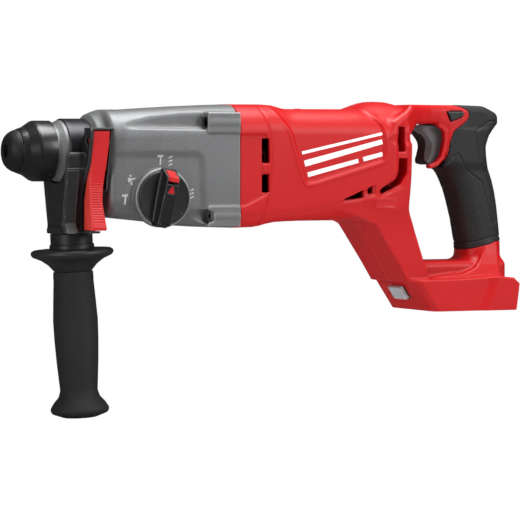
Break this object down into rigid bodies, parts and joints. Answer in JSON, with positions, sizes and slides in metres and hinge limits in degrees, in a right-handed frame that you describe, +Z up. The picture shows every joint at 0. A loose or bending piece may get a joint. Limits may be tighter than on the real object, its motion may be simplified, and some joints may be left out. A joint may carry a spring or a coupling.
{
  "type": "rotary hammer",
  "caption": "Cordless rotary hammer with pull-back chuck sleeve, function dial, trigger in a D-handle, battery foot and swivelling side handle with depth-stop lever.",
  "frame": {"origin": "mouth of the tool bore, on the spindle axis, at the front face of the tool holder's dust cap", "axes": "+X runs back along the spindle towards the rear handle, +Z is up, -Y is the side with the function dial"},
  "size_m": [0.3936, 0.0869, 0.2235],
  "materials": {
    "red_plastic": "fine moulded texture, satin",
    "black_plastic": "moulded, satin",
    "grip_rubber": "matte textured rubber",
    "cap_rubber": "smooth rubber",
    "cast_metal": "die-cast metal, fine blasted grain, grey",
    "steel": "machined",
    "blackened_steel": "black oxide",
    "aluminium": "machined",
    "copper": "enamelled copper",
    "brass": "sintered bronze",
    "board": "potted circuit board",
    "wire_insulation": "soft insulation",
    "lens": "clear polycarbonate"
  },
  "bodies": {
    "body": {"gear_case": "cast_metal", "gear_case_screws": "blackened_steel", "bearing_plate": "cast_metal", "housing_left": "red_plastic", "housing_right": "red_plastic", "housing_screws": "blackened_steel", "grip_overmold_left": "grip_rubber", "grip_overmold_right": "grip_rubber", "spindle_bearing": "steel", "spindle_rear_bearing": "brass", "neck_seal": "cap_rubber", "countershaft_bearings": "steel", "motor_stator": "steel", "motor_windings": "copper", "motor_bearings": "steel", "control_board": "board", "trigger_switch": "black_plastic", "led_lens": "lens", "led_board": "board", "terminal_block": "black_plastic", "terminal_blades": "copper", "wires": "wire_insulation"},
    "spindle": {"tool_holder": "steel", "dust_cap": "cap_rubber", "spring_seat": "steel", "chuck_spring": "steel", "locking_balls": "steel", "spindle_barrel": "steel", "spindle_gear": "steel"},
    "chuck_sleeve": {"chuck_sleeve": "black_plastic"},
    "countershaft": {"intermediate_shaft": "steel", "intermediate_gear": "steel", "wobble_hub": "steel"},
    "clutch": {"clutch_sleeve": "steel"},
    "wobble": {"wobble_ring": "steel", "wobble_balls": "steel"},
    "piston": {"piston": "aluminium"},
    "wrist_pin": {"wrist_pin": "steel"},
    "striker": {"striker": "steel", "striker_o_ring": "cap_rubber"},
    "impact_bolt": {"impact_bolt": "steel"},
    "rotor": {"motor_shaft": "steel", "rotor_core": "steel", "motor_fan": "black_plastic"},
    "mode_dial": {"mode_dial": "black_plastic"},
    "dial_button": {"dial_lock_button": "red_plastic", "dial_spring": "steel"},
    "shift_fork": {"shift_fork": "steel"},
    "trigger": {"trigger": "black_plastic", "trigger_spring": "steel"},
    "direction_selector": {"direction_selector": "black_plastic"},
    "side_handle": {"clamp_band": "blackened_steel", "clamp_yoke": "black_plastic", "clamp_bolt": "steel", "lever_pin": "steel"},
    "side_grip": {"side_grip_core": "black_plastic", "side_grip_cover": "grip_rubber", "grip_nut": "steel"},
    "depth_lever": {"depth_stop_lever": "red_plastic", "lever_spring": "steel"}
  },
  "joints": [
    {"name": "spindle_spin", "type": "hinge", "parent": "body", "child": "spindle", "pos_m": [0, 0, 0], "axis": [1, 0, 0], "continuous": true},
    {"name": "sleeve_pull", "type": "slide", "parent": "spindle", "child": "chuck_sleeve", "axis": [1, 0, 0], "range_m": [0, 0.005], "stiffness_N_per_m": 900, "springref_m": -0.002, "deforming": ["chuck_spring"]},
    {"name": "countershaft_spin", "type": "hinge", "parent": "body", "child": "countershaft", "pos_m": [0, 0, -0.027], "axis": [1, 0, 0], "continuous": true},
    {"name": "clutch_shift", "type": "slide", "parent": "countershaft", "child": "clutch", "axis": [1, 0, 0], "range_m": [-0.0032, 0.0032]},
    {"name": "rotor_spin", "type": "hinge", "parent": "body", "child": "rotor", "pos_m": [0, 0, -0.005], "axis": [1, 0, 0], "continuous": true},
    {"name": "wobble_rock", "type": "hinge", "parent": "body", "child": "wobble", "pos_m": [0.128, 0, -0.027], "axis": [0, 1, 0], "range_deg": [-12, 12]},
    {"name": "piston_stroke", "type": "slide", "parent": "body", "child": "piston", "axis": [1, 0, 0], "range_m": [-0.00569, 0.00569]},
    {"name": "wrist_pin_swivel", "type": "hinge", "parent": "piston", "child": "wrist_pin", "pos_m": [0.128, 0, 0], "axis": [0, 1, 0], "range_deg": [-13, 13]},
    {"name": "striker_flight", "type": "slide", "parent": "body", "child": "striker", "axis": [1, 0, 0], "range_m": [-0.01, 0.003]},
    {"name": "impact_bolt_float", "type": "slide", "parent": "body", "child": "impact_bolt", "axis": [1, 0, 0], "range_m": [-0.003, 0.003]},
    {"name": "mode_dial_turn", "type": "hinge", "parent": "body", "child": "mode_dial", "pos_m": [0.1036, -0.037, -0.0327], "axis": [0, 1, 0], "range_deg": [-90, 80]},
    {"name": "dial_button_press", "type": "slide", "parent": "mode_dial", "child": "dial_button", "axis": [-0.1908, 0, -0.9816], "range_m": [0, 0.002], "stiffness_N_per_m": 800, "springref_m": -0.001, "deforming": ["dial_spring"]},
    {"name": "shift_fork_slide", "type": "slide", "parent": "body", "child": "shift_fork", "axis": [1, 0, 0], "range_m": [-0.003, 0.00266]},
    {"name": "trigger_pull", "type": "slide", "parent": "body", "child": "trigger", "axis": [1, 0, 0], "range_m": [0, 0.006], "stiffness_N_per_m": 600, "springref_m": -0.003, "deforming": ["trigger_spring"]},
    {"name": "direction_shift", "type": "slide", "parent": "body", "child": "direction_selector", "axis": [0, 1, 0], "range_m": [-0.003, 0.003]},
    {"name": "side_handle_swivel", "type": "hinge", "parent": "body", "child": "side_handle", "pos_m": [0.049, 0, 0], "axis": [1, 0, 0], "continuous": true},
    {"name": "side_grip_twist", "type": "hinge", "parent": "side_handle", "child": "side_grip", "pos_m": [0.0461, 0, 0], "axis": [0.0506, 0, -0.9987], "continuous": true},
    {"name": "depth_lever_press", "type": "hinge", "parent": "side_handle", "child": "depth_lever", "pos_m": [0.056, -0.0285, -0.012], "axis": [1, 0, 0], "range_deg": [0, 8], "stiffness_Nm_per_rad": 0.3, "springref_deg": -5.73, "deforming": ["lever_spring"]}
  ],
  "couplings": [
    {"joint": "countershaft_spin", "follows": "spindle_spin", "ratio": -2.375},
    {"joint": "rotor_spin", "follows": "spindle_spin", "ratio": 10.688},
    {"joint": "wobble_rock", "follows": "piston_stroke", "rad_per_m": 36.778},
    {"joint": "wrist_pin_swivel", "follows": "piston_stroke", "rad_per_m": 36.778},
    {"joint": "mode_dial_turn", "follows": "shift_fork_slide", "rad_per_m": 523.5},
    {"joint": "clutch_shift", "follows": "shift_fork_slide", "ratio": 1}
  ]
}
